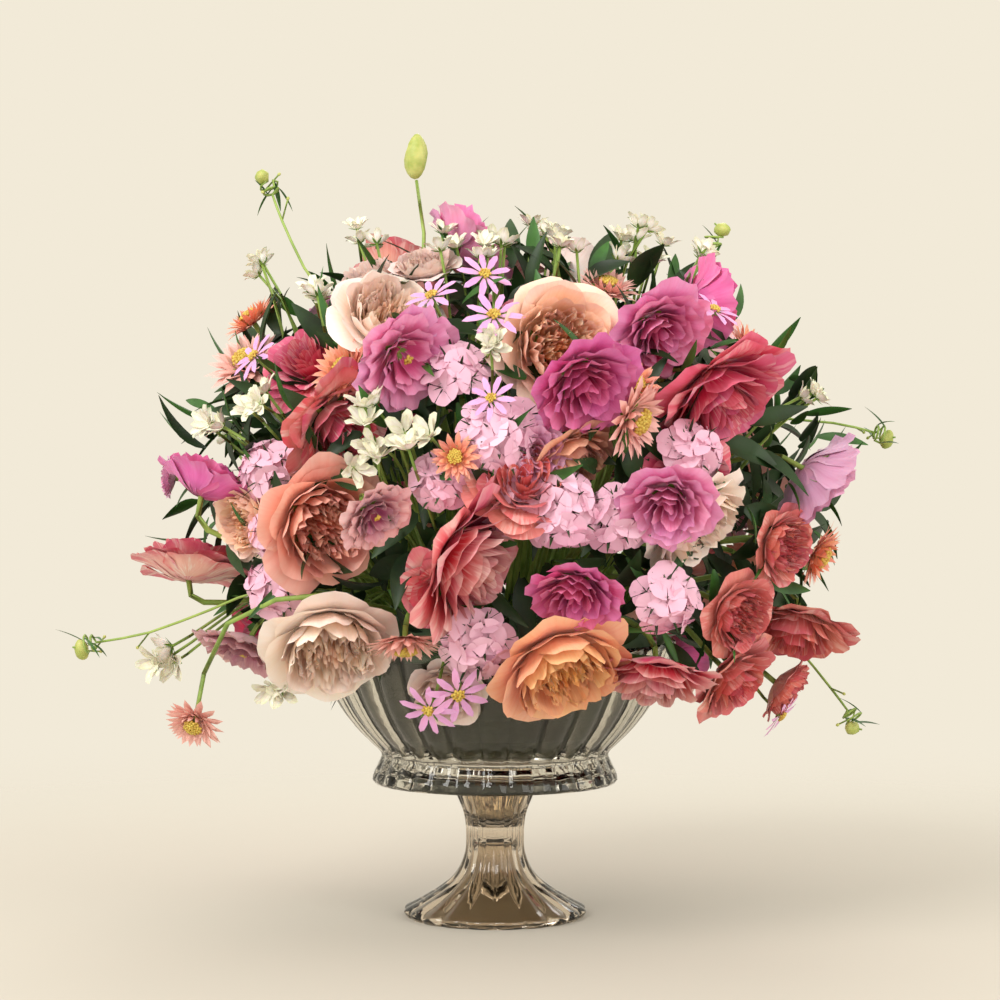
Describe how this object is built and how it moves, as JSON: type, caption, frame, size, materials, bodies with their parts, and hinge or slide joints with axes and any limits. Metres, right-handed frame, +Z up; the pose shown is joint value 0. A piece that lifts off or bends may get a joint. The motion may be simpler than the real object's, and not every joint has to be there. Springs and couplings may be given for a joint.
{
  "type": "floral table centerpiece",
  "caption": "Round arrangement of cut garden roses, lisianthus and small blooms in a footed, fluted glass bowl filled with wet foam.",
  "frame": {"origin": "middle of the foot's underside, on the table", "axes": "+Z up along the bowl's axis; -Y is the front; +X to the right seen from the front"},
  "size_m": [0.6187, 0.4535, 0.5848],
  "materials": {
    "clear_glass": "gloss",
    "wet_foam": "matte",
    "dark_leaf": "satin",
    "peach_petal": "satin",
    "striped_petal": "satin",
    "pink_petal": "satin",
    "coral_petal": "satin",
    "floret_petal": "satin",
    "green_bud": "satin"
  },
  "bodies": {
    "root": {"glass_pedestal": "clear_glass", "glass_bowl": "clear_glass", "leaf_lining": "dark_leaf", "floral_foam": "wet_foam", "garden_rose_01": "peach_petal", "garden_rose_02": "peach_petal", "garden_rose_03": "peach_petal", "garden_rose_04": "peach_petal", "garden_rose_05": "peach_petal", "garden_rose_06": "peach_petal", "garden_rose_07": "peach_petal", "garden_rose_08": "peach_petal", "garden_rose_09": "peach_petal", "garden_rose_10": "peach_petal", "garden_rose_11": "peach_petal", "striped_rose_01": "striped_petal", "striped_rose_02": "striped_petal", "striped_rose_03": "striped_petal", "striped_rose_04": "striped_petal", "striped_rose_05": "striped_petal", "striped_rose_06": "striped_petal", "striped_rose_07": "striped_petal", "striped_rose_08": "striped_petal", "striped_rose_09": "striped_petal", "striped_rose_10": "striped_petal", "lisianthus_01": "pink_petal", "lisianthus_02": "pink_petal", "lisianthus_03": "pink_petal", "lisianthus_04": "pink_petal", "lisianthus_05": "pink_petal", "lisianthus_06": "pink_petal", "lisianthus_07": "pink_petal", "lisianthus_08": "pink_petal", "lisianthus_09": "pink_petal", "lisianthus_10": "pink_petal", "lisianthus_11": "pink_petal", "lisianthus_12": "pink_petal", "lisianthus_13": "pink_petal", "lisianthus_14": "pink_petal", "lisianthus_15": "pink_petal", "coral_bloom_01": "coral_petal", "coral_bloom_02": "coral_petal", "coral_bloom_03": "coral_petal", "coral_bloom_04": "coral_petal", "coral_bloom_05": "coral_petal", "coral_bloom_06": "coral_petal", "coral_bloom_07": "coral_petal", "coral_bloom_08": "coral_petal", "sweet_william_01": "floret_petal", "sweet_william_02": "floret_petal", "sweet_william_03": "floret_petal", "sweet_william_04": "floret_petal", "sweet_william_05": "floret_petal", "coral_bloom_hanging": "coral_petal", "tall_bud_stem": "green_bud", "left_bud_sprig": "green_bud", "right_bud_sprig": "green_bud", "low_right_sprig": "green_bud", "wispy_sprig": "green_bud", "clawed_seed_head": "green_bud"}
  },
  "joints": []
}
